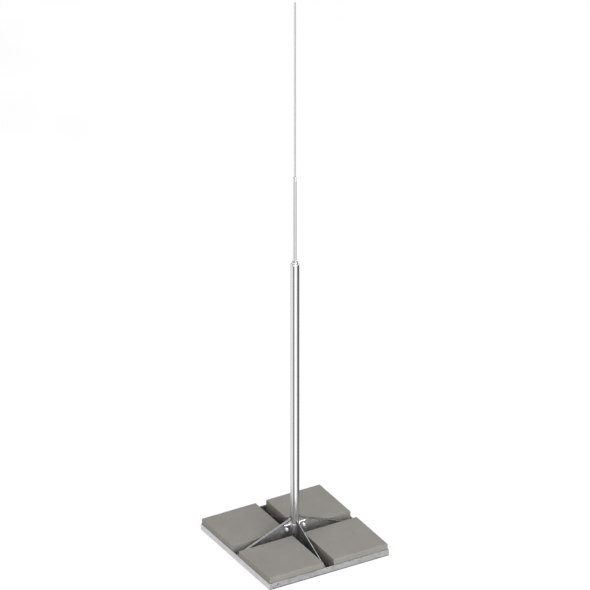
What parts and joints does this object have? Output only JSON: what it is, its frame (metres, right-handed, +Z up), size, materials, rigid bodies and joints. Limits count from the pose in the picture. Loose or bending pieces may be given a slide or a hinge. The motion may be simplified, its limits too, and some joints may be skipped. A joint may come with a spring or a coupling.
{
  "type": "free-standing lightning rod mast",
  "caption": "Free-standing lightning rod mast: a stepped rod on a braced tube, standing in an angle-steel frame ballasted with square concrete slabs.",
  "frame": {"origin": "centre of the base's footprint, on the ground", "axes": "+Z up along the mast; -Y towards the rail with the earthing hole; -X along the rail that meets it at the front corner"},
  "size_m": [0.6636, 0.6666, 3],
  "materials": {
    "concrete": "cast concrete, matt",
    "galvanised": "zinc-coated steel, satin",
    "web_steel": "zinc-coated steel plate, satin",
    "fittings": "bright steel",
    "stainless": "polished stainless steel",
    "aluminium": "drawn aluminium, satin"
  },
  "bodies": {
    "root": {"rail_front": "galvanised", "rail_back": "galvanised", "rail_left": "galvanised", "rail_right": "galvanised", "cross_bar_long": "galvanised", "cross_bar_front": "galvanised", "cross_bar_back": "galvanised", "slab_front_left": "concrete", "slab_front_right": "concrete", "slab_back_left": "concrete", "slab_back_right": "concrete", "web_left": "web_steel", "web_right": "web_steel", "web_front": "web_steel", "web_back": "web_steel", "cap_bar_left": "galvanised", "cap_bar_right": "galvanised", "clamp_front": "fittings", "clamp_back": "fittings", "clamp_bolt_left": "fittings", "clamp_bolt_right": "fittings", "mast_tube": "stainless", "reducer": "aluminium", "rod_lower": "aluminium", "rod_tip": "aluminium"}
  },
  "joints": []
}
